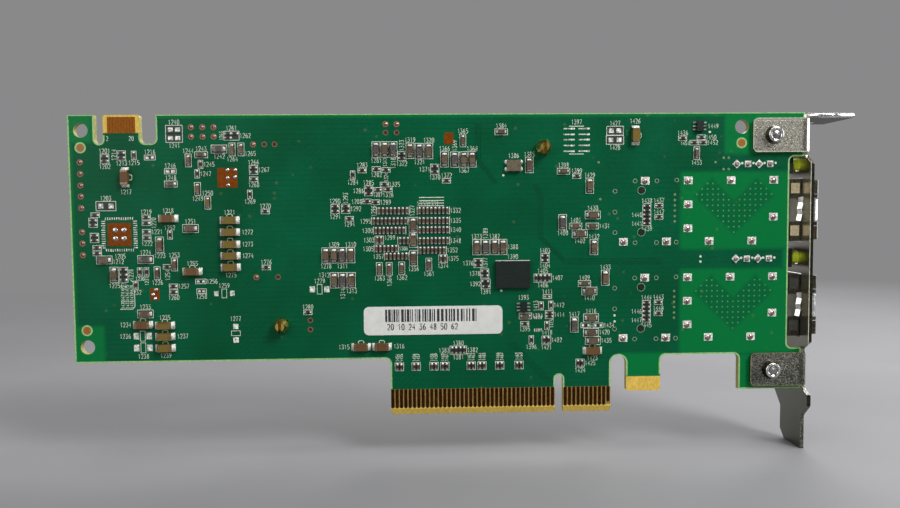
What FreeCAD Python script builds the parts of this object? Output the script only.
import FreeCAD, Part
import math
import os
import re
import Sketcher

# Low-profile fibre channel host adapter card, in millimetres.
# +X runs along the card towards the bracket, +Z up from the card edge, -Y is the solder side.
# The origin is the middle of the key notch at the bottom of the card edge, half way through the board.

SIZES = {
    # Circuit board outline
    "board_length": 167.2,
    "board_height": 68.9,
    "board_thick": 1.57,
    "board_right": 57.0,
    "finger_margin_left": 0.4,
    "finger_margin_right": 0.55,
    "finger_corner": 0.7,
    "shoulder_height": 13.1,
    "notch_round": 1.2,
    "key_width": 1.9,
    "key_height": 8.75,
    "latch_slot_width": 3.7,
    "hook_width": 8.0,
    "hook_low": 4.75,
    "hook_corner": 0.5,
    "wide_notch_width": 18.5,
    "port_cut_depth": 3.4,
    "port_cut_low": 14.3,
    "port_cut_high": 58.85,
    "debug_inset": 7.8,
    "debug_width": 8.1,
    "debug_corner": 0.6,
    "debug_depth": 6.4,
    "debug_slot_left": 2.0,
    "debug_slot_right": 3.6,
    "bevel_height": 1.3,
    "bevel_depth": 0.47,
    # Plated contacts
    "contact_pitch": 1.0,
    "contact_width": 0.7,
    "contact_low": 1.9,
    "contact_short_low": 2.7,
    "contact_high": 5.9,
    "contact_from_key": 1.5,
    "plating_thick": 0.05,
    "debug_pitch": 0.63,
    "debug_contact_width": 0.45,
    "debug_contact_height": 3.6,
    "debug_contact_inset": 0.45,
    # Plain holes of the board
    "tooling_hole": 3.2,
    # Folded bracket
    "sheet": 0.9,
    "bracket_gap": 0.3,
    "bracket_near": 3.4,
    "bracket_width": 18.42,
    "bracket_waist": 1.0,
    "joggle_height": 2.8,
    "waist_joggle": 2.0,
    "tail_near": -0.4,
    "tail_width": 10.19,
    "tail_tip": 9.8,
    "tail_taper": 2.9,
    "tail_chamfer": 2.2,
    "flange_drop": 0.15,
    "flange_reach": 11.43,
    "flange_near": 1.2,
    "flange_slot_width": 4.42,
    "flange_slot_depth": 5.1,
    "flange_slot_from_face": 5.08,
    "tab_reach": 4.7,
    "tab_height": 7.6,
    "tab_corner": 1.0,
    "tab_relief": 0.8,
    "tab_slit": 0.5,
    "bend_round": 1.2,
    # Bracket screws and the collars they turn in
    "screw_inset": 7.5,
    "screw_drop": 5.2,
    "screw_lower": 9.4,
    "screw_hole": 3.2,
    "screw_shank": 2.8,
    "screw_head": 5.4,
    "screw_head_height": 1.7,
    "screw_recess": 1.1,
    "screw_recess_reach": 1.8,
    "screw_recess_depth": 0.9,
    "collar_clearance": 0.05,
    "collar_base": 4.3,
    "collar_top": 3.4,
    "collar_height": 1.3,
    # Transceiver cages
    "port_lower": 24.1,
    "port_pitch": 22.35,
    "cage_proud": 2.4,
    "cage_length": 48.7,
    "cage_width": 14.0,
    "cage_height": 9.6,
    "cage_sheet": 0.25,
    "cage_standoff": 0.1,
    "cage_floor_open": 14.6,
    "cage_tail_setback": 45.6,
    "cage_tail_pitch": 10.0,
    "cage_tail_width": 0.6,
    "cage_tail_length": 0.7,
    "cage_tail_clearance": 0.2,
    "tongue_width": 4.8,
    "tongue_length": 6.2,
    "tongue_drop": 0.3,
    "vent_hole": 1.6,
    "vent_first": 8.5,
    "vent_pitch": 4.5,
    "vent_row": 3.2,
    # Spring collars round the cage mouths
    "spring_sheet": 0.2,
    "spring_gap": 0.05,
    "spring_proud": 1.2,
    "spring_length": 4.8,
    "port_window_gap": 0.3,
    # Connectors inside the cages
    "host_setback": 37.4,
    "host_depth": 9.2,
    "host_width": 12.0,
    "host_height": 5.6,
    "host_slot_width": 10.2,
    "host_slot_height": 1.3,
    "host_slot_level": 2.3,
    "host_slot_depth": 5.5,
    "host_peg_setback": 4.05,
    "host_peg_spread": 9.6,
    "host_peg": 1.4,
    "host_peg_clearance": 0.075,
    "host_peg_length": 1.7,
    # Indicator blocks
    "led_upper_rise": 10.7,
    "led_setback": 2.0,
    "led_length": 15.4,
    "led_width": 4.4,
    "led_height": 8.6,
    "led_lens": 2.9,
    "led_lens_length": 2.3,
    "led_dome": 2.1,
    "led_dome_length": 0.7,
    "led_lens_level": 2.3,
    "led_lens_rise": 3.9,
    "led_window_gap": 0.25,
    "led_lead": 0.5,
    "led_lead_clearance": 0.2,
    "led_lead_setback": 14.0,
    "led_lead_pitch": 2.6,
    "led_lead_length": 0.8,
    # Controller and heat sink
    "controller_x": -33.55,
    "controller_z": 41.15,
    "ball_height": 0.4,
    "substrate_side": 31.0,
    "substrate_thick": 1.1,
    "lid_side": 27.0,
    "lid_thick": 1.5,
    "pad_side": 25.0,
    "pad_thick": 0.3,
    "sink_width": 50.0,
    "sink_base": 2.6,
    "sink_fin_height": 5.8,
    "sink_fin_thick": 1.1,
    "sink_cross_cut": 2.2,
    "sink_ear": 9.0,
    # Split push pins and their springs
    "pin_reach_x": 30.0,
    "pin_reach_z": 20.05,
    "pin_shank": 2.8,
    "pin_clearance": 0.15,
    "pin_barb": 3.5,
    "pin_barb_length": 1.3,
    "pin_barb_gap": 0.05,
    "pin_tip": 2.0,
    "pin_tip_length": 1.5,
    "pin_slot": 0.75,
    "pin_slot_depth": 4.2,
    "pin_head": 6.2,
    "pin_head_height": 1.2,
    "pin_head_gap": 1.9,
    "spring_height": 3.6,
    "spring_across": 5.2,
    "spring_wire": 0.5,
    "spring_end_gap": 0.06,
    # Sticker
    "label_left": -44.9,
    "label_width": 31.85,
    "label_low": 18.55,
    "label_height": 6.55,
    "label_round": 1.2,
    "label_thick": 0.1,
    # Chip bodies
    "large_cap_length": 3.2,
    "large_cap_width": 1.6,
    "large_cap_height": 1.25,
    "medium_chip_length": 2.1,
    "medium_chip_width": 1.25,
    "medium_chip_height": 0.8,
    "small_cap_length": 1.6,
    "small_cap_width": 0.8,
    "small_cap_height": 0.7,
    "tiny_chip_length": 1.0,
    "tiny_chip_width": 0.5,
    "tiny_cap_height": 0.5,
    "tiny_resistor_height": 0.35,
    "oscillator_length": 3.2,
    "oscillator_width": 2.5,
    "oscillator_height": 0.9,
    "flash_length": 7.9,
    "flash_width": 6.1,
    "flash_height": 0.9,
    "gate_length": 1.5,
    "gate_width": 2.3,
    "gate_height": 0.9,
    "gate_lead_length": 0.8,
    "gate_lead_width": 0.35,
    "gate_lead_thick": 0.25,
    "gate_lead_pitch": 0.8,
    "inductor_side": 6.6,
    "inductor_height": 3.0,
    "inductor_corner": 0.8,
    "regulator_side": 5.0,
    "regulator_height": 0.9,
    "polymer_length": 7.3,
    "polymer_width": 4.3,
    "polymer_height": 1.9,
    "memory_length": 3.9,
    "memory_width": 4.9,
    "memory_height": 1.6,
    "memory_lead_length": 1.0,
    "memory_lead_width": 0.4,
    "memory_lead_thick": 0.25,
    "memory_lead_pitch": 1.27,
}

CONTACTS_LEFT = 38
CONTACTS_RIGHT = 11
DEBUG_CONTACTS = 10
LED_LEADS = 4
CAGE_TAILS = 4
CAGE_VENTS = 7
SINK_FINS = 13
SPRING_TURNS = 3
TURN_STEPS = 10
HIDDEN_SIDES = 8
SMALL_SIDES = 12
LENS_SIDES = 16
VENT_SIDES = 6
FULL_ROUND = 0.49
CUT_PAST = 6.0
ACROSS = 0
UPRIGHT = 90
ALONG_X = FreeCAD.Vector(1, 0, 0)
ALONG_Y = FreeCAD.Vector(0, 1, 0)
ALONG_Z = FreeCAD.Vector(0, 0, 1)

doc = FreeCAD.newDocument("host_adapter")
sheet = doc.addObject("Spreadsheet::Sheet", "sizes")
sub_parts = []

for row, (alias, number) in enumerate(SIZES.items(), start=1):
    sheet.set(f"A{row}", alias)
    sheet.set(f"B{row}", str(number))
    sheet.setAlias(f"B{row}", alias)
doc.recompute()


def size(alias):
    """A driving dimension, read from the sheet."""
    return float(sheet.get(alias))


# Places that several pieces share, as expressions of the driving dimensions.
SOLDER_FACE = "(-board_thick / 2)"
PARTS_FACE = "(board_thick / 2)"
THROUGH_BOARD = ("-board_thick", "board_thick")
BOARD_LEFT = "(board_right - board_length)"
FINGER_LEFT = f"(-contact_from_key - {CONTACTS_LEFT - 1} * contact_pitch - finger_margin_left)"
FINGER_RIGHT = f"(contact_from_key + {CONTACTS_RIGHT - 1} * contact_pitch + finger_margin_right)"
HOOK_LEFT = f"({FINGER_RIGHT} + latch_slot_width)"
HOOK_RIGHT = f"({HOOK_LEFT} + hook_width)"
DEBUG_LEFT = f"({BOARD_LEFT} + debug_inset)"
DEBUG_RIGHT = f"({DEBUG_LEFT} + debug_width)"
BRACKET_INNER = "(board_right + bracket_gap)"
BRACKET_OUTER = f"({BRACKET_INNER} + sheet)"
BRACKET_TOP = "(board_height - flange_drop)"
BRACKET_FAR = "(bracket_width - bracket_near)"
TAB_FACE = f"({SOLDER_FACE} - sheet)"
SCREW_X = "(board_right - screw_inset)"
SCREW_LEVELS = {"upper": "(board_height - screw_drop)", "lower": "screw_lower"}
PORT_LEVELS = {"upper": "(port_lower + port_pitch)", "lower": "port_lower"}
LED_LEVELS = {"upper": "(port_lower + port_pitch + led_upper_rise)", "lower": "(port_lower + port_pitch / 2)"}
CAGE_FRONT = f"({BRACKET_OUTER} + cage_proud)"
CAGE_REAR = f"({CAGE_FRONT} - cage_length)"
CAGE_FLOOR = f"({PARTS_FACE} + cage_standoff)"
CAGE_ROOF = f"({CAGE_FLOOR} + cage_height)"
HOST_FRONT = f"({CAGE_FRONT} - host_setback)"
HOST_REAR = f"({HOST_FRONT} - host_depth)"
LED_FRONT = f"({BRACKET_INNER} - led_setback)"
SINK_SEAT = f"({PARTS_FACE} + ball_height + substrate_thick + lid_thick + pad_thick)"
SINK_TOP = f"({SINK_SEAT} + sink_base)"
PIN_PLACES = [(f"(controller_x {side} pin_reach_x)", f"(controller_z {side} pin_reach_z)") for side in "+-"]

# The same places as numbers, for the chips and for picking edges.
LEFT = size("board_right") - size("board_length")
TOP = size("board_height")
CONTROLLER_X = size("controller_x")
CONTROLLER_Z = size("controller_z")
SUPPLY_ROOM = CONTROLLER_X - size("pin_reach_x") - size("sink_ear") / 2 - LEFT
HOST_X = (size("board_right") + size("bracket_gap") + size("sheet") + size("cage_proud")
          - size("host_setback"))
PORTS_Z = (size("port_lower"), size("port_lower") + size("port_pitch"))
SEAT_Y = size("board_thick") / 2 + sum(size(alias) for alias in (
    "ball_height", "substrate_thick", "lid_thick", "pad_thick"))

# Holes and chips of the board: x, z and the way the chip lies.
TOOLING_HOLES = [(f"{BOARD_LEFT} + 2.85", "board_height - 3.4"), (f"{BOARD_LEFT} + 2.9", "16.7"),
                 ("42.4", "board_height - 3.2")]
# Cage tails under the floor: tail pitches from the rear tail, z from the port's middle.
INNER_TAILS = [(1.5, 1.5), (1.5, -4.0), (3.5, -1.5)]

LARGE_CAPS = [
    (LEFT + 12.5, 55.0, UPRIGHT), (LEFT + 21.7, 45.7, ACROSS), (LEFT + 26.8, 33.7, ACROSS),
    (LEFT + 35.4, 45.2, ACROSS), (LEFT + 35.4, 42.5, ACROSS), (LEFT + 35.4, 39.75, ACROSS),
    (LEFT + 35.4, 37.15, ACROSS), (LEFT + 35.4, 34.55, ACROSS), (LEFT + 15.4, 21.7, ACROSS),
    (LEFT + 20.3, 21.5, ACROSS), (LEFT + 20.3, 18.95, ACROSS), (LEFT + 20.3, 16.35, ACROSS),
    (-45.6, 15.95, ACROSS), (-40.85, 15.95, ACROSS), (7.8, 14.35, ACROSS), (17.6, TOP - 5.1, UPRIGHT),
]
MEDIUM_CAPS = [
    (LEFT + 26.6, 43.4, ACROSS), (LEFT + 7.2, 36.5, ACROSS), (LEFT + 16.0, 24.15, ACROSS),
    (LEFT + 19.6, 39.8, UPRIGHT), (LEFT + 9.3, 33.1, UPRIGHT), (7.85, 45.7, ACROSS),
    (4.85, 41.4, ACROSS), (7.1, 28.15, ACROSS), (7.5, 21.95, ACROSS), (7.5, 18.55, ACROSS),
    (7.95, 16.6, ACROSS), (-6.75, 57.2, UPRIGHT), (7.15, 52.4, UPRIGHT), (8.15, 38.3, UPRIGHT),
    (10.8, 31.2, UPRIGHT), (-39.6, 60.9, UPRIGHT), (-33.9, 60.6, UPRIGHT), (-29.65, 60.5, UPRIGHT),
    (-26.1, 58.6, UPRIGHT), (-21.7, 58.55, UPRIGHT), (-19.8, 58.55, UPRIGHT), (-53.3, 37.0, UPRIGHT),
    (-51.45, 37.0, UPRIGHT), (-47.65, 37.0, UPRIGHT), (-51.5, 31.3, UPRIGHT), (-47.6, 31.3, UPRIGHT),
    (-18.9, 38.55, UPRIGHT), (-14.8, 38.55, UPRIGHT), (-12.85, 38.55, UPRIGHT),
    (-33.4, 43.75, UPRIGHT), (-33.4, 40.4, UPRIGHT), (-33.4, 36.2, UPRIGHT),
]
FERRITE_BEADS = [
    (LEFT + 16.4, 36.5, ACROSS), (LEFT + 33.4, 61.2, ACROSS), (-41.6, 60.9, UPRIGHT),
    (-37.75, 60.9, UPRIGHT), (-31.8, 60.5, UPRIGHT), (-23.8, 58.55, UPRIGHT), (-49.6, 37.0, UPRIGHT),
    (-49.6, 31.3, UPRIGHT), (-16.9, 38.55, UPRIGHT), (0.9, 44.1, UPRIGHT), (3.6, 20.4, UPRIGHT),
]
SMALL_CAPS = [
    (LEFT + 22.5, 53.45, ACROSS), (LEFT + 26.5, 58.7, UPRIGHT), (LEFT + 28.4, 52.3, UPRIGHT),
    (LEFT + 30.6, 49.2, UPRIGHT), (LEFT + 36.3, 61.1, UPRIGHT), (LEFT + 38.3, 61.1, UPRIGHT),
    (LEFT + 18.9, 33.4, UPRIGHT), (LEFT + 22.8, 35.3, UPRIGHT), (1.1, 55.75, ACROSS),
    (3.9, 43.2, ACROSS), (7.75, 43.15, ACROSS), (5.95, 29.9, ACROSS), (-7.75, 22.55, ACROSS),
    (31.9, TOP - 9.2, UPRIGHT), (-21.9, TOP - 6.05, UPRIGHT), (-13.15, TOP - 4.15, ACROSS), (-41.2, 33.8, UPRIGHT),
    (-38.95, 33.8, UPRIGHT), (-36.1, 33.9, UPRIGHT), (-29.9, 34.7, UPRIGHT), (LEFT + 29.4, 59.95, ACROSS),
]
CHIP_RESISTORS = [
    (LEFT + 41.0, 57.0, ACROSS), (LEFT + 41.0, 56.0, ACROSS), (LEFT + 41.0, 54.4, ACROSS),
    (LEFT + 22.45, 30.35, ACROSS), (LEFT + 22.45, 29.05, ACROSS), (LEFT + 35.5, TOP - 4.25, ACROSS),
    (LEFT + 37.0, TOP - 4.25, ACROSS), (LEFT + 35.5, TOP - 5.2, ACROSS), (LEFT + 8.0, 59.7, ACROSS),
    (LEFT + 8.0, 58.7, ACROSS), (LEFT + 11.7, 60.4, ACROSS), (LEFT + 11.7, 59.4, ACROSS),
    (LEFT + 14.45, 59.9, UPRIGHT), (LEFT + 21.95, 42.0, UPRIGHT), (LEFT + 16.8, 46.0, ACROSS),
    (LEFT + 16.8, 44.7, ACROSS), (LEFT + 16.8, 42.75, ACROSS), (LEFT + 16.8, 41.35, ACROSS),
    (LEFT + 5.5, 46.6, ACROSS), (LEFT + 5.0, 45.4, ACROSS), (LEFT + 5.0, 44.4, ACROSS),
    (LEFT + 5.2, 42.0, ACROSS), (LEFT + 5.2, 40.95, ACROSS), (LEFT + 5.7, 39.25, ACROSS),
    (LEFT + 5.7, 38.0, ACROSS), (LEFT + 11.4, 34.25, ACROSS), (LEFT + 11.4, 33.1, ACROSS),
    (LEFT + 11.4, 31.95, ACROSS), (LEFT + 14.0, 30.7, UPRIGHT), (LEFT + 15.0, 33.7, UPRIGHT),
    (LEFT + 16.5, 33.7, UPRIGHT), (LEFT + 21.2, 34.8, ACROSS), (LEFT + 40.05, 51.0, UPRIGHT),
    (LEFT + 29.2, 57.8, UPRIGHT), (-66.75, 47.1, ACROSS), (-66.8, 34.4, ACROSS), (-57.6, 24.05, ACROSS),
    (-51.05, 48.1, ACROSS), (-51.05, 47.05, ACROSS), (-48.65, 48.1, ACROSS), (-48.65, 47.05, ACROSS),
    (-47.85, 45.3, ACROSS), (-46.95, 55.2, UPRIGHT), (-44.8, 56.2, ACROSS), (-43.4, 52.2, ACROSS),
    (-43.4, 51.0, ACROSS), (-43.8, 49.2, ACROSS), (-41.9, 49.0, ACROSS), (-41.3, 51.8, ACROSS),
    (-39.8, 53.0, ACROSS), (-39.0, 51.9, ACROSS), (-39.4, 56.3, ACROSS), (-41.6, 56.5, ACROSS),
    (-28.35, 57.0, ACROSS), (-28.35, 55.8, ACROSS), (-25.7, 53.75, ACROSS), (-18.6, 34.4, ACROSS),
    (-18.6, 35.4, ACROSS), (-17.1, 33.0, ACROSS), (-17.1, 32.0, ACROSS), (-17.0, 30.7, ACROSS),
    (-16.8, 29.5, ACROSS), (-24.7, 14.85, UPRIGHT), (-23.8, 14.85, UPRIGHT), (-22.8, 14.85, UPRIGHT),
    (-21.9, 14.85, UPRIGHT), (-7.9, 20.75, ACROSS), (-6.4, 17.0, UPRIGHT), (-5.2, 31.3, UPRIGHT),
    (-4.2, 31.3, UPRIGHT), (-3.2, 31.3, UPRIGHT), (-2.2, 31.3, UPRIGHT), (-3.2, 36.4, ACROSS),
    (-3.2, 35.4, ACROSS), (-4.1, 24.85, UPRIGHT), (-1.85, 25.0, UPRIGHT), (-2.2, 23.2, ACROSS),
    (-2.2, 22.4, ACROSS), (-2.75, 20.3, UPRIGHT), (-3.4, 16.9, UPRIGHT), (-2.4, 16.9, UPRIGHT),
    (4.15, 54.6, ACROSS), (4.5, 11.4, UPRIGHT), (5.4, 11.4, UPRIGHT), (28.6, TOP - 5.8, ACROSS),
    (31.2, TOP - 6.8, ACROSS), (33.3, TOP - 6.8, ACROSS), (32.9, TOP - 5.6, ACROSS), (LEFT + 28.4, 55.7, UPRIGHT),
    (-35.8, 59.9, ACROSS), (-35.8, 58.95, ACROSS),
]
# Resistors behind each port's connector: x from the connector's front, z from the port's middle.
PORT_RESISTORS = [(-2.8, 1.2), (-2.8, 0.2), (-2.8, -0.8), (-2.8, -1.8), (-2.8, -2.8), (0.0, 1.25), (0.0, -1.35)]
# Rows of decoupling capacitors, from the controller's middle: first x, last x, z.
DECOUPLING_PITCH = 0.9
DECOUPLING_ROWS = [
    (-7.55, -1.25, 5.85), (-8.75, -1.55, 3.55), (-8.35, -2.05, 1.4), (1.65, 7.95, 5.85), (1.65, 7.95, 3.55),
    (1.65, 7.95, 1.45), (1.65, 7.95, -1.05), (1.75, 7.15, -3.2), (-8.25, -3.75, -2.75), (-5.95, -1.45, -4.5),
    (-2.85, -1.05, -0.95), (-8.05, -7.15, -0.75), (6.45, 7.35, -5.15),
]
# Coupling capacitors over the card edge, in contact pitches left of the key.
COUPLING_ROW = 11.15
COUPLING_CAPS = [
    37.35, 36.45, 33.5, 32.6, 29.4, 28.5, 26.9, 26.0,
    20.8, 19.9, 18.3, 17.4, 14.2, 13.3, 9.7, 8.8,
]
OSCILLATOR = [(-10.35, 57.1, ACROSS)]
FLASH_MEMORY = [(-10.65, 32.25, ACROSS)]
LOGIC_GATES = [(32.45, TOP - 3.05, ACROSS), (-8.2, 24.7, ACROSS)]
# The supply stands in columns, at shares of the room between the board's left end and the heat sink.
INDUCTOR_COLUMN = LEFT + 0.669 * SUPPLY_ROOM
REGULATOR_COLUMN = LEFT + 0.42 * SUPPLY_ROOM
OUTPUT_COLUMN = LEFT + 0.906 * SUPPLY_ROOM
INPUT_COLUMN = LEFT + 0.218 * SUPPLY_ROOM
POWER_INDUCTORS = [(INDUCTOR_COLUMN, 41.0, ACROSS), (INDUCTOR_COLUMN, 24.0, ACROSS)]
REGULATOR_CHIPS = [(REGULATOR_COLUMN, 41.0, ACROSS), (REGULATOR_COLUMN, 24.0, ACROSS)]
POLYMER_CAPS = [(OUTPUT_COLUMN, 45.0, UPRIGHT), (OUTPUT_COLUMN, 36.0, UPRIGHT),
                (INPUT_COLUMN, 30.0, UPRIGHT)]
CONFIG_MEMORY = [(3.0, 33.0, ACROSS)]


def cells(text):
    """An expression in which each alias is the sheet's cell."""
    return re.sub(r"[a-z_]+", lambda word: "sizes." + word[0], str(text))


def bind(item, prop, text):
    item.setExpression(prop, cells(text))


def set_base(item, x, y, z):
    """Bind where an object stands to three expressions."""
    for axis, place in (("x", x), ("y", y), ("z", z)):
        bind(item, f"Placement.Base.{axis}", place)


def box(name, x, y, z):
    """A block between two expressions on each axis."""
    block = doc.addObject("Part::Box", name)
    for prop, (low, high) in (("Length", x), ("Width", y), ("Height", z)):
        bind(block, prop, f"({high}) - ({low})")
    set_base(block, x[0], y[0], z[0])
    return block


def rod(name, axis, across, length, x, y, z, sides=0):
    """A cylinder of a diameter, or a prism of that many sides, from a point along an axis."""
    turns = {"x": (ALONG_Y, 90), "y": (ALONG_X, -90), "z": (ALONG_Z, 0)}
    item = doc.addObject("Part::Prism" if sides else "Part::Cylinder", name)
    item.Placement.Rotation = FreeCAD.Rotation(*turns[axis])
    bind(item, "Circumradius" if sides else "Radius", f"({across}) / 2")
    bind(item, "Height", length)
    set_base(item, x, y, z)
    if sides:
        item.Polygon = sides
    return item


def middle(place, half):
    """The two ends of a span around a place."""
    return (f"{place} - ({half})", f"{place} + ({half})")


def fuse(name, items):
    joined = doc.addObject("Part::MultiFuse", name)
    joined.Shapes = items
    return joined


def gather(name, items):
    group = doc.addObject("Part::Compound", name)
    group.Links = items
    return group


def cut(name, base, tools):
    item = doc.addObject("Part::Cut", name)
    item.Base = base
    item.Tool = tools[0] if len(tools) == 1 else gather(name + "_tools", tools)
    return item


def rounded(name, base, direction, radius, wanted=lambda point: True, kind="Part::Fillet"):
    """Ease the base's straight edges along a direction whose middle is wanted."""
    doc.recompute()
    item = doc.addObject(kind, name)
    item.Base = base
    chosen = []
    for number, edge in enumerate(base.Shape.Edges, start=1):
        if edge.Curve.TypeId != "Part::GeomLine":
            continue
        if abs(edge.tangentAt(edge.FirstParameter).dot(direction)) > 0.999 and wanted(edge.CenterOfMass):
            chosen.append((number, radius, radius))
    item.Edges = chosen
    return item


def near(number, places):
    return any(abs(number - place) < 0.01 for place in places)


def keep(item, label):
    """Name a finished sub-part."""
    item.Label = label
    sub_parts.append(item)


def keep_solids(label, solids):
    """A finished sub-part that is a group of separate solids."""
    group = doc.addObject("Part::Feature", label)
    group.Shape = Part.Compound(solids)
    keep(group, label)


def copies(template, spots):
    """The template's solids, moved to each spot."""
    doc.recompute()
    solids = []
    for spot in spots:
        for solid in template.Shape.Solids:
            moved = solid.copy()
            moved.Placement = spot.multiply(moved.Placement)
            solids.append(moved)
    return solids


def spot_on(x, z, turn=ACROSS):
    return FreeCAD.Placement(FreeCAD.Vector(x, 0, z), FreeCAD.Rotation(ALONG_Y, turn))


def outline(body, plane_role, level, name, corners):
    """A closed sketch whose corners are pairs of expressions."""
    sketch = body.newObject("Sketcher::SketchObject", name)
    sketch.AttachmentSupport = (origin_item(body, plane_role), [""])
    sketch.MapMode = "FlatFace"
    bind(sketch, "AttachmentOffset.Base.z", level)
    count = len(corners)
    angles = [2 * math.pi * i / count for i in range(count)]
    ring = [FreeCAD.Vector(math.cos(angle), math.sin(angle), 0) for angle in angles]
    for i in range(count):
        sketch.addGeometry(Part.LineSegment(ring[i], ring[(i + 1) % count]))
    for i in range(count):
        sketch.addConstraint(Sketcher.Constraint("Coincident", i, 2, (i + 1) % count, 1))
    for i, corner in enumerate(corners):
        for kind, start, text in zip(("DistanceX", "DistanceY"), (ring[i].x, ring[i].y), corner):
            number = sketch.addConstraint(Sketcher.Constraint(kind, -1, 1, i, 1, start))
            bind(sketch, f"Constraints[{number}]", text)
    return sketch


def origin_item(body, role):
    return next(item for item in body.Origin.OriginFeatures if item.Role == role)


def pad(body, name, sketch, length, backwards=False):
    item = body.newObject("PartDesign::Pad", name)
    item.Profile = sketch
    bind(item, "Length", length)
    item.Reversed = backwards
    return item


def notch(name, x, z, radius):
    """A tool for a notch with rounded corners, right through the board."""
    return rounded(name, box(name + "_block", x, THROUGH_BOARD, z), ALONG_Y, radius)


def drill(name, across, x, z, sides=0):
    return rod(name, "y", across, "2 * board_thick", x, "-board_thick", z, sides)


def bevel_tools():
    """Two leaning blocks that bevel the card edge on both faces."""
    lean = math.degrees(math.atan(size("bevel_depth") / size("bevel_height")))
    tools = []
    for side in (1, -1):
        block = doc.addObject("Part::Box", "bevel")
        bind(block, "Length", f"{FINGER_RIGHT} - {FINGER_LEFT} + {2 * CUT_PAST}")
        block.Width = CUT_PAST
        block.Height = CUT_PAST
        inward = 0 if side > 0 else -CUT_PAST
        turn = FreeCAD.Rotation(ALONG_X, -side * lean)
        hang = turn.multVec(FreeCAD.Vector(0, inward, -CUT_PAST))
        block.Placement.Rotation = turn
        set_base(block, f"{FINGER_LEFT} - {CUT_PAST}", f"{side} * board_thick / 2 + {hang.y:.6f}",
                 f"bevel_height + {hang.z:.6f}")
        tools.append(block)
    return tools


def cage_tails(port):
    """A cage's tails: x of each, the two ends of its thickness across the port."""
    first = f"({CAGE_FRONT} - cage_tail_setback)"
    wall = "cage_width / 2"
    tails = []
    for i in range(CAGE_TAILS):
        tails.append((f"({first} + {i} * cage_tail_pitch)", (f"{port} - {wall}", f"{port} - {wall} + cage_sheet")))
        tails.append((f"({first} + {i + 0.5} * cage_tail_pitch)",
                      (f"{port} + {wall} - cage_sheet", f"{port} + {wall}")))
    for pitches, rise in INNER_TAILS:
        tails.append((f"({first} + {pitches} * cage_tail_pitch)", middle(f"{port} + {rise}", "cage_sheet / 2")))
    return tails


def led_lead_x(number):
    return f"({LED_FRONT} - led_lead_setback + {number} * led_lead_pitch)"


def host_peg_places(port):
    return [(f"({HOST_FRONT} - host_peg_setback)", f"({port} {side} host_peg_spread / 2)") for side in "+-"]


def board_drills():
    """Round holes where they show, and many-sided ones under heads, tails and solder."""
    tools = [drill("tooling_drill", "tooling_hole", x, z) for x, z in TOOLING_HOLES]
    tools += [drill("screw_drill", "screw_hole", SCREW_X, level, HIDDEN_SIDES) for level in SCREW_LEVELS.values()]
    tools += [drill("pin_drill", "pin_shank + 2 * pin_clearance", x, z, SMALL_SIDES) for x, z in PIN_PLACES]
    for port in PORT_LEVELS.values():
        tools += [box("tail_hole", middle(x, "cage_tail_width / 2 + cage_tail_clearance"), THROUGH_BOARD,
                      (f"{low} - cage_tail_clearance", f"{high} + cage_tail_clearance"))
                  for x, (low, high) in cage_tails(port)]
        tools += [drill("peg_drill", "host_peg + 2 * host_peg_clearance", x, z, HIDDEN_SIDES)
                  for x, z in host_peg_places(port)]
    lead_room = "led_lead / 2 + led_lead_clearance"
    for level in LED_LEVELS.values():
        tools += [box("lead_hole", middle(led_lead_x(i), lead_room), THROUGH_BOARD, middle(level, lead_room))
                  for i in range(LED_LEADS)]
    return tools


def circuit_board():
    blank = box("board_blank", (BOARD_LEFT, "board_right"), (SOLDER_FACE, PARTS_FACE), ("0", "board_height"))
    corner = size("notch_round")
    below = f"0 - {CUT_PAST}"
    above = f"board_height + {CUT_PAST}"
    beyond = f"board_right + {CUT_PAST}"
    wide_right = f"({HOOK_RIGHT} + wide_notch_width)"
    slot_floor = "board_height - debug_depth"
    tools = [
        notch("left_step", (f"{BOARD_LEFT} - {CUT_PAST}", FINGER_LEFT), (below, "shoulder_height"), corner),
        notch("key_notch", middle("0", "key_width / 2"), (below, "key_height"), FULL_ROUND * size("key_width")),
        notch("latch_slot", (FINGER_RIGHT, HOOK_LEFT), (below, "shoulder_height"),
              FULL_ROUND * size("latch_slot_width")),
        box("hook_trim", (HOOK_LEFT, HOOK_RIGHT), THROUGH_BOARD, (below, "hook_low")),
        notch("wide_notch", (HOOK_RIGHT, wide_right), (below, "shoulder_height"), corner),
        box("tab_trim", (wide_right, beyond), THROUGH_BOARD, (below, "hook_low")),
        notch("port_cut", ("board_right - port_cut_depth", beyond), ("port_cut_low", "port_cut_high"), corner),
        notch("debug_slot_a", (f"{DEBUG_LEFT} - debug_slot_left", DEBUG_LEFT), (slot_floor, above),
              FULL_ROUND * size("debug_slot_left")),
        notch("debug_slot_b", (DEBUG_RIGHT, f"{DEBUG_RIGHT} + debug_slot_right"), (slot_floor, above), corner),
    ]
    shaped = cut("board_shaped", blank, tools)
    doc.recompute()
    hook = tools[3].Shape.BoundBox
    fingers = (tools[0].Shape.BoundBox.XMax, tools[2].Shape.BoundBox.XMin)
    debug = (tools[7].Shape.BoundBox.XMax, tools[8].Shape.BoundBox.XMin)
    eased = rounded("hook_eased", shaped, ALONG_Y, size("hook_corner"),
                    lambda p: near(p.z, [size("hook_low")]) and near(p.x, (hook.XMin, hook.XMax)))
    eased = rounded("fingers_eased", eased, ALONG_Y, size("finger_corner"),
                    lambda p: near(p.z, [0]) and near(p.x, fingers))
    eased = rounded("debug_eased", eased, ALONG_Y, size("debug_corner"),
                    lambda p: near(p.z, [size("board_height")]) and near(p.x, debug))
    keep(cut("board", eased, bevel_tools() + board_drills()), "circuit_board")


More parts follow.
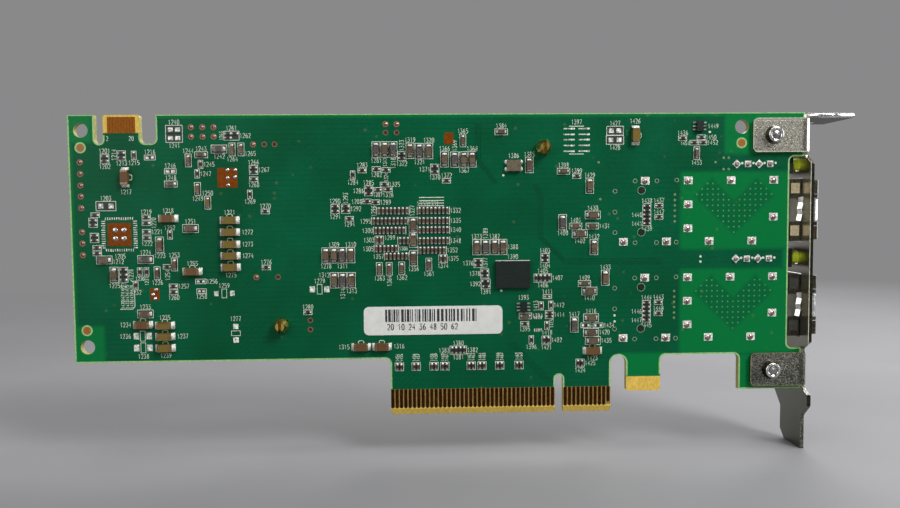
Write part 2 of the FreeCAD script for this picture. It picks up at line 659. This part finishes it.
def plated_pair(name, x, z):
    """A plated finger on each face of the board."""
    back = box(name + "_back", x, (PARTS_FACE, f"{PARTS_FACE} + plating_thick"), z)
    front = box(name + "_front", x, (f"{SOLDER_FACE} - plating_thick", SOLDER_FACE), z)
    return gather(name, [back, front])


def plated_contacts():
    pitch = size("contact_pitch")
    start = size("contact_from_key")
    width = middle("0", "contact_width / 2")
    long_pair = plated_pair("long_contact", width, ("contact_low", "contact_high"))
    short_pair = plated_pair("short_contact", width, ("contact_short_low", "contact_high"))
    left = [spot_on(-start - i * pitch, 0) for i in range(CONTACTS_LEFT)]
    right = [spot_on(start + i * pitch, 0) for i in range(CONTACTS_RIGHT)]
    keep_solids("edge_contacts", copies(long_pair, left + right[:-1]) + copies(short_pair, right[-1:]))

    top = "board_height - debug_contact_inset"
    tab = f"({DEBUG_LEFT} + {DEBUG_RIGHT}) / 2"
    debug_pair = plated_pair("debug_contact", middle(tab, "debug_contact_width / 2"),
                             (f"{top} - debug_contact_height", top))
    half = (DEBUG_CONTACTS - 1) / 2
    row = [spot_on((i - half) * size("debug_pitch"), 0) for i in range(DEBUG_CONTACTS)]
    keep_solids("debug_contacts", copies(debug_pair, row))


def paper_label():
    block = box("label_block", ("label_left", "label_left + label_width"),
                (f"{SOLDER_FACE} - label_thick", SOLDER_FACE), ("label_low", "label_low + label_height"))
    keep(rounded("label", block, ALONG_Y, size("label_round")), "paper_label")


def bracket_plate():
    """The bracket's plate, drawn across the card and padded along it."""
    edge = "0 - bracket_near"
    slit = f"{SOLDER_FACE} + tab_slit"
    upper_top = f"{SCREW_LEVELS['upper']} + tab_height / 2"
    upper_end = f"{SCREW_LEVELS['upper']} - tab_height / 2"
    lower_top = f"{SCREW_LEVELS['lower']} + tab_height / 2"
    lower_end = f"{SCREW_LEVELS['lower']} - tab_height / 2"
    tail_top = "bracket_waist - tail_taper"
    tail_far = "tail_near + tail_width"
    corners = [
        ("flange_near", BRACKET_TOP), ("flange_near", upper_top), (TAB_FACE, upper_top), (TAB_FACE, upper_end),
        (slit, upper_end), (slit, f"{upper_end} - tab_relief"), (edge, f"{upper_end} - joggle_height"),
        (edge, f"{lower_top} + joggle_height"), (slit, f"{lower_top} + tab_relief"), (slit, lower_top),
        (TAB_FACE, lower_top), (TAB_FACE, lower_end), (slit, lower_end), (slit, f"{lower_end} - tab_relief"),
        (edge, f"{lower_end} - waist_joggle"), (edge, "bracket_waist"), ("tail_near", tail_top),
        ("tail_near", "0 - tail_tip"), (f"{tail_far} - tail_chamfer", "0 - tail_tip"),
        (tail_far, "tail_chamfer - tail_tip"), (tail_far, tail_top),
        (BRACKET_FAR, f"{lower_end} - waist_joggle"), (BRACKET_FAR, BRACKET_TOP),
    ]
    body = doc.addObject("PartDesign::Body", "bracket_plate")
    body.Tip = pad(body, "plate", outline(body, "YZ_Plane", BRACKET_INNER, "plate_outline", corners), "sheet")
    return body


def bracket_tab(name, level):
    """A tab that lies on the solder face, with the drawn-out collar its screw turns in."""
    block = box(f"{name}_block", (f"{SCREW_X} - tab_reach", BRACKET_OUTER), (TAB_FACE, SOLDER_FACE),
                middle(level, "tab_height / 2"))
    doc.recompute()
    flat = rounded(name, block, ALONG_Y, size("tab_corner"), lambda p: near(p.x, [block.Shape.BoundBox.XMin]))
    collar = doc.addObject("Part::Cone", f"{name}_collar")
    collar.Placement.Rotation = FreeCAD.Rotation(ALONG_X, 90)
    bind(collar, "Radius1", "collar_base / 2")
    bind(collar, "Radius2", "collar_top / 2")
    bind(collar, "Height", "collar_height")
    set_base(collar, SCREW_X, TAB_FACE, level)
    return [flat, collar]


def bracket_cuts():
    """Port windows, indicator windows, screw bores and the flange's open slot."""
    tools = []
    through = (f"{BRACKET_INNER} - sheet", f"{BRACKET_OUTER} + sheet")
    room = "spring_gap + spring_sheet + port_window_gap"
    for port in PORT_LEVELS.values():
        tools.append(box("port_window", through, (f"{CAGE_FLOOR} - ({room})", f"{CAGE_ROOF} + {room}"),
                         middle(port, f"cage_width / 2 + {room}")))
    for level in LED_LEVELS.values():
        for i in range(2):
            tools.append(rod("led_window", "x", "led_lens + 2 * led_window_gap", "3 * sheet", through[0],
                             f"{PARTS_FACE} + led_lens_level + {i} * led_lens_rise", level, LENS_SIDES))
    for level in SCREW_LEVELS.values():
        tools.append(rod("screw_bore", "y", "screw_shank + 2 * collar_clearance", "2 * sheet + collar_height",
                         SCREW_X, f"{TAB_FACE} - collar_height", level, SMALL_SIDES))
    slot_x = f"({BRACKET_OUTER} + flange_slot_from_face)"
    round_y = f"({BRACKET_FAR} - flange_slot_depth + flange_slot_width / 2)"
    slot_low = f"{BRACKET_TOP} - 2 * sheet"
    tools.append(box("flange_slot", middle(slot_x, "flange_slot_width / 2"),
                     (round_y, f"{BRACKET_FAR} + {CUT_PAST}"), (slot_low, f"{BRACKET_TOP} + sheet")))
    tools.append(rod("flange_slot_end", "z", "flange_slot_width", "3 * sheet", slot_x, round_y, slot_low))
    return tools


def bracket():
    flange = box("flange", (BRACKET_INNER, f"{BRACKET_OUTER} + flange_reach"), ("flange_near", BRACKET_FAR),
                 (f"{BRACKET_TOP} - sheet", BRACKET_TOP))
    plate = bracket_plate()
    tabs = bracket_tab("upper_tab", SCREW_LEVELS["upper"]) + bracket_tab("lower_tab", SCREW_LEVELS["lower"])
    folded = fuse("bracket_folded", [plate, flange] + tabs)
    doc.recompute()
    sides = plate.Shape.BoundBox
    tab_face = -size("board_thick") / 2 - size("sheet")
    bent = rounded("bracket_bent", folded, ALONG_Z, size("bend_round"),
                   lambda p: near(p.x, [sides.XMax]) and near(p.y, [tab_face]))
    bent = rounded("bracket_flanged", bent, ALONG_Y, size("bend_round"),
                   lambda p: near(p.x, [sides.XMin]) and near(p.z, [sides.ZMax]))
    keep(cut("folded_bracket", bent, bracket_cuts()), "bracket")


def bracket_screws():
    screws = []
    top = f"{PARTS_FACE} + screw_head_height"
    depth = (f"{top} - screw_recess_depth", f"{top} + screw_recess_depth")
    for level in SCREW_LEVELS.values():
        shank = rod("screw_shank", "y", "screw_shank", "board_thick + sheet + collar_height", SCREW_X,
                    f"{TAB_FACE} - collar_height", level, SMALL_SIDES)
        head = rod("screw_head", "y", "screw_head", "screw_head_height", SCREW_X, PARTS_FACE, level)
        lying = box("recess_lying", middle(SCREW_X, "screw_recess_reach"), depth, middle(level, "screw_recess / 2"))
        standing = box("recess_standing", middle(SCREW_X, "screw_recess / 2"), depth,
                       middle(level, "screw_recess_reach"))
        screws.append(cut("screw", fuse("screw_blank", [shank, head]), [lying, standing]))
    keep(gather("screws", screws), "bracket_screws")


def cage(port, label):
    """A folded sheet cage, open in front and over its connector, with solder tails and a latch tongue."""
    outside = box(f"{label}_outside", (CAGE_REAR, CAGE_FRONT), (CAGE_FLOOR, CAGE_ROOF), middle(port, "cage_width / 2"))
    inner = middle(port, "cage_width / 2 - cage_sheet")
    tools = [
        box(f"{label}_inside", (f"{CAGE_REAR} + cage_sheet", f"{CAGE_FRONT} + {CUT_PAST}"),
            (f"{CAGE_FLOOR} + cage_sheet", f"{CAGE_ROOF} - cage_sheet"), inner),
        box(f"{label}_floor_open", (f"{CAGE_REAR} + cage_sheet", f"{CAGE_REAR} + cage_floor_open"),
            (f"{CAGE_FLOOR} - cage_sheet", f"{CAGE_FLOOR} + 2 * cage_sheet"), inner),
    ]
    for i in range(CAGE_VENTS):
        for side in "+-":
            tools.append(rod("vent", "y", "vent_hole", "4 * cage_sheet",
                             f"{CAGE_REAR} + vent_first + {i} * vent_pitch", f"{CAGE_ROOF} - 2 * cage_sheet",
                             f"{port} {side} vent_row", VENT_SIDES))
    pieces = [cut(f"{label}_shell", outside, tools),
              box(f"{label}_tongue", (f"{CAGE_FRONT} - tongue_length", CAGE_FRONT),
                  (f"{CAGE_FLOOR} - tongue_drop", CAGE_FLOOR), middle(port, "tongue_width / 2"))]
    for x, across in cage_tails(port):
        pieces.append(box(f"{label}_tail", middle(x, "cage_tail_width / 2"),
                          (f"{SOLDER_FACE} - cage_tail_length", f"{CAGE_FLOOR} + cage_sheet"), across))
    keep(fuse(label + "_folded", pieces), label)


def spring_collar(port, label):
    """The sprung ring that earths the cage's mouth in the bracket's window."""
    front = f"({BRACKET_OUTER} + spring_proud)"
    along = (f"{front} - spring_length", front)
    past = (f"{front} - spring_length - {CUT_PAST}", f"{front} + {CUT_PAST}")
    skin = "spring_gap + spring_sheet"
    outside = box(f"{label}_outside", along, (f"{CAGE_FLOOR} - ({skin})", f"{CAGE_ROOF} + {skin}"),
                  middle(port, f"cage_width / 2 + {skin}"))
    inside = box(f"{label}_inside", past, (f"{CAGE_FLOOR} - spring_gap", f"{CAGE_ROOF} + spring_gap"),
                 middle(port, "cage_width / 2 + spring_gap"))
    tongue_gap = box(f"{label}_tongue_gap", past, (f"{CAGE_FLOOR} - tongue_drop - {CUT_PAST}", CAGE_FLOOR),
                     middle(port, "tongue_width / 2 + port_window_gap"))
    keep(cut(label + "_ring", outside, [inside, tongue_gap]), label)


def host_connector(port, label):
    """The module's edge connector on the board, at the back of the cage."""
    block = box(f"{label}_block", (HOST_REAR, HOST_FRONT), (PARTS_FACE, f"{PARTS_FACE} + host_height"),
                middle(port, "host_width / 2"))
    pegs = [rod(f"{label}_peg", "y", "host_peg", "host_peg_length + host_slot_level / 2", x,
                f"{PARTS_FACE} - host_peg_length", z, HIDDEN_SIDES) for x, z in host_peg_places(port)]
    slot_low = f"{PARTS_FACE} + host_slot_level"
    slot = box(f"{label}_slot", (f"{HOST_FRONT} - host_slot_depth", f"{HOST_FRONT} + {CUT_PAST}"),
               (slot_low, f"{slot_low} + host_slot_height"), middle(port, "host_slot_width / 2"))
    keep(cut(label + "_slotted", fuse(f"{label}_pegged", [block] + pegs), [slot]), label)


def led_blocks():
    """Two indicator blocks, each with two domed lenses that look out through the bracket."""
    lenses = []
    leads = []
    for place, level in LED_LEVELS.items():
        label = f"led_housing_{place}"
        keep(box(label, (f"{LED_FRONT} - led_length", LED_FRONT), (PARTS_FACE, f"{PARTS_FACE} + led_height"),
                 middle(level, "led_width / 2")), label)
        for i in range(2):
            height = f"{PARTS_FACE} + led_lens_level + {i} * led_lens_rise"
            lens_end = f"{LED_FRONT} + led_lens_length"
            barrel = rod("lens_barrel", "x", "led_lens", "led_lens_length", LED_FRONT, height, level, LENS_SIDES)
            dome = rod("lens_dome", "x", "led_dome", "led_dome_length", lens_end, height, level, LENS_SIDES)
            lenses.append(fuse("lens", [barrel, dome]))
        for i in range(LED_LEADS):
            leads.append(box("led_lead", middle(led_lead_x(i), "led_lead / 2"),
                             (f"{SOLDER_FACE} - led_lead_length", PARTS_FACE), middle(level, "led_lead / 2")))
    keep(gather("lenses", lenses), "led_lenses")
    keep(gather("leads", leads), "led_leads")


def controller():
    """The controller's substrate, its lid and the pad under the heat sink, one on the other."""
    seat = f"{PARTS_FACE} + ball_height"
    for label, side, thick in (("controller_substrate", "substrate_side", "substrate_thick"),
                               ("controller_lid", "lid_side", "lid_thick"),
                               ("thermal_pad", "pad_side", "pad_thick")):
        top = f"{seat} + {thick}"
        keep(box(label, middle("controller_x", f"{side} / 2"), (seat, top), middle("controller_z", f"{side} / 2")),
             label)
        seat = top


def heat_sink():
    """A finned plate with an ear at each pin, cut across its fins."""
    reach = "(pin_reach_x - pin_head / 2 - pin_head_gap)"
    left, right = middle("controller_x", reach)
    low, high = middle("controller_z", "sink_width / 2")
    (right_pin, upper_pin), (left_pin, lower_pin) = PIN_PLACES
    ear_low, ear_high = middle(upper_pin, "sink_ear / 2")
    foot_low, foot_high = middle(lower_pin, "sink_ear / 2")
    ear_end = f"{right_pin} + sink_ear / 2"
    foot_end = f"{left_pin} - sink_ear / 2"
    corners = [(left, high), (right, high), (right, ear_high), (ear_end, ear_high), (ear_end, ear_low),
               (right, ear_low), (right, low), (left, low), (left, foot_low), (foot_end, foot_low),
               (foot_end, foot_high), (left, foot_high)]
    fin_corners = [(left, low), (right, low), (right, f"{low} + sink_fin_thick"), (left, f"{low} + sink_fin_thick")]
    body = doc.addObject("PartDesign::Body", "sink_body")
    pad(body, "sink_plate", outline(body, "XZ_Plane", f"0 - {SINK_SEAT}", "sink_outline", corners), "sink_base", True)
    fin = pad(body, "sink_fin", outline(body, "XZ_Plane", f"0 - {SINK_TOP}", "fin_outline", fin_corners),
              "sink_fin_height", True)
    doc.recompute()
    fins = body.newObject("PartDesign::LinearPattern", "sink_fins")
    fins.Originals = [fin]
    fins.Direction = (origin_item(body, "Z_Axis"), [""])
    bind(fins, "Length", "sink_width - sink_fin_thick")
    fins.Occurrences = SINK_FINS
    body.Tip = fins
    tools = [box("cross_cut", middle(f"controller_x {side} {reach} / 3", "sink_cross_cut / 2"),
                 (SINK_TOP, f"{SINK_TOP} + 2 * sink_fin_height"), (f"{low} - {CUT_PAST}", f"{high} + {CUT_PAST}"))
             for side in "+-"]
    tools += [rod("ear_hole", "y", "pin_shank + 2 * pin_clearance", "3 * sink_base", x, f"{SINK_SEAT} - sink_base", z,
                  SMALL_SIDES) for x, z in PIN_PLACES]
    keep(cut("sink", body, tools), "heat_sink")


def push_pins():
    """Split pins: barbed tips on the solder side, sprung heads over the sink's ears."""
    barb = f"{SOLDER_FACE} - pin_barb_gap"
    barb_end = f"{barb} - pin_barb_length"
    tip = f"{barb_end} - pin_tip_length"
    head = f"{SINK_TOP} + spring_height"
    profile = [("0", tip), ("pin_tip / 2", tip), ("pin_barb / 2", barb_end), ("pin_barb / 2", barb),
               ("pin_shank / 2", barb), ("pin_shank / 2", head), ("pin_head / 2", head),
               ("pin_head / 2", f"{head} + pin_head_height"), ("0", f"{head} + pin_head_height")]
    body = doc.addObject("PartDesign::Body", "pin_body")
    sketch = outline(body, "XY_Plane", "0", "pin_profile", profile)
    turned = body.newObject("PartDesign::Revolution", "pin_turned")
    turned.Profile = sketch
    turned.ReferenceAxis = (sketch, ["V_Axis"])
    body.Tip = turned
    slot = box("pin_slot", middle("0", "pin_slot / 2"), (f"{tip} - pin_slot", f"{tip} + pin_slot_depth"),
               middle("0", "pin_barb"))
    keep_solids("push_pins", copies(cut("pin_split", body, [slot]), pin_spots()))


def pin_spots():
    return [spot_on(CONTROLLER_X + side * size("pin_reach_x"), CONTROLLER_Z + side * size("pin_reach_z"))
            for side in (1, -1)]


def push_pin_springs():
    """Square wire wound in short straight steps between the sink's ears and the pins' heads."""
    wire = size("spring_wire")
    radius = (size("spring_across") - wire) / 2
    steps = SPRING_TURNS * TURN_STEPS
    end_gap = size("spring_end_gap")
    rise = (size("spring_height") - wire - 2 * end_gap) / steps
    start = SEAT_Y + size("sink_base") + wire / 2 + end_gap
    points = []
    for i in range(steps + 1):
        angle = 2 * math.pi * i / TURN_STEPS
        points.append(FreeCAD.Vector(radius * math.cos(angle), start + i * rise, radius * math.sin(angle)))
    half = wire / 2
    corners = [(-half, -half), (half, -half), (half, half), (-half, half), (-half, -half)]
    section = Part.makePolygon([points[0] + FreeCAD.Vector(out, up, 0) for out, up in corners])
    coil = doc.addObject("Part::Feature", "spring_coil")
    coil.Shape = Part.makePolygon(points).makePipeShell([section], True, True, 1)
    keep_solids("push_pin_springs", copies(coil, pin_spots()))


def chip(kind, on_parts_side=False):
    """A chip body seated on a face of the board and centred on x and z."""
    levels = (f"{SOLDER_FACE} - {kind[2]}", SOLDER_FACE)
    if on_parts_side:
        levels = (PARTS_FACE, f"{PARTS_FACE} + {kind[2]}")
    return box("chip", middle("0", f"{kind[0]} / 2"), levels, middle("0", f"{kind[1]} / 2"))


def chips(label, kind, places, on_parts_side=False):
    keep_solids(label, copies(chip(kind, on_parts_side), [spot_on(*place) for place in places]))


def chip_leads(label, body_length, kind, pitch, places, per_side, on_parts_side=False):
    """Rows of flat leads on both ends of leaded chips."""
    reach = (size(body_length) + size(kind[0])) / 2
    half = (per_side - 1) / 2
    spots = [spot_on(x + side * reach, z + (i - half) * size(pitch))
             for x, z, _ in places for side in (-1, 1) for i in range(per_side)]
    keep_solids(label, copies(chip(kind, on_parts_side), spots))


def solder_side_chips():
    medium = ("medium_chip_length", "medium_chip_width", "medium_chip_height")
    tiny_cap = ("tiny_chip_length", "tiny_chip_width", "tiny_cap_height")
    pitch = size("contact_pitch")
    rows = [(CONTROLLER_X + first + i * DECOUPLING_PITCH, CONTROLLER_Z + rise, UPRIGHT)
            for first, last, rise in DECOUPLING_ROWS
            for i in range(round((last - first) / DECOUPLING_PITCH) + 1)]
    by_ports = [(HOST_X + x, port + rise, ACROSS) for port in PORTS_Z for x, rise in PORT_RESISTORS]
    chips("large_capacitors", ("large_cap_length", "large_cap_width", "large_cap_height"), LARGE_CAPS)
    chips("medium_capacitors", medium, MEDIUM_CAPS)
    chips("ferrite_beads", medium, FERRITE_BEADS)
    chips("small_capacitors", ("small_cap_length", "small_cap_width", "small_cap_height"), SMALL_CAPS)
    chips("decoupling_capacitors", tiny_cap, rows)
    chips("coupling_capacitors", tiny_cap, [(-n * pitch, COUPLING_ROW, UPRIGHT) for n in COUPLING_CAPS])
    chips("chip_resistors", ("tiny_chip_length", "tiny_chip_width", "tiny_resistor_height"),
          CHIP_RESISTORS + by_ports)
    chips("oscillator", ("oscillator_length", "oscillator_width", "oscillator_height"), OSCILLATOR)
    chips("flash_memory", ("flash_length", "flash_width", "flash_height"), FLASH_MEMORY)
    chips("logic_gates", ("gate_length", "gate_width", "gate_height"), LOGIC_GATES)
    chip_leads("logic_gate_leads", "gate_length", ("gate_lead_length", "gate_lead_width", "gate_lead_thick"),
               "gate_lead_pitch", LOGIC_GATES, 3)


def parts_side_chips():
    inductor = chip(("inductor_side", "inductor_side", "inductor_height"), True)
    shaped = rounded("inductor_shaped", inductor, ALONG_Y, size("inductor_corner"), kind="Part::Chamfer")
    keep_solids("power_inductors", copies(shaped, [spot_on(*place) for place in POWER_INDUCTORS]))
    chips("regulator_chips", ("regulator_side", "regulator_side", "regulator_height"), REGULATOR_CHIPS, True)
    chips("polymer_capacitors", ("polymer_length", "polymer_width", "polymer_height"), POLYMER_CAPS, True)
    chips("config_memory", ("memory_length", "memory_width", "memory_height"), CONFIG_MEMORY, True)
    chip_leads("config_memory_leads", "memory_length",
               ("memory_lead_length", "memory_lead_width", "memory_lead_thick"), "memory_lead_pitch",
               CONFIG_MEMORY, 4, True)


def write_parts():
    """Check every object, then write each sub-part."""
    doc.recompute()
    failed = [item.Name for item in doc.Objects if "Invalid" in item.State or "Error" in item.State]
    if failed:
        raise RuntimeError(f"objects failed: {failed}")
    for item in sub_parts:
        if item.Shape.isNull() or not item.Shape.isValid() or not item.Shape.Solids:
            raise RuntimeError(f"{item.Label} has no valid solid")
    os.makedirs("parts", exist_ok=True)
    for item in sub_parts:
        item.Shape.exportStep(f"parts/{item.Label}.step")


def main():
    circuit_board()
    plated_contacts()
    paper_label()
    bracket()
    bracket_screws()
    for place, port in PORT_LEVELS.items():
        cage(port, f"cage_{place}")
        spring_collar(port, f"emi_collar_{place}")
        host_connector(port, f"host_connector_{place}")
    led_blocks()
    controller()
    heat_sink()
    push_pins()
    push_pin_springs()
    solder_side_chips()
    parts_side_chips()
    write_parts()


main()
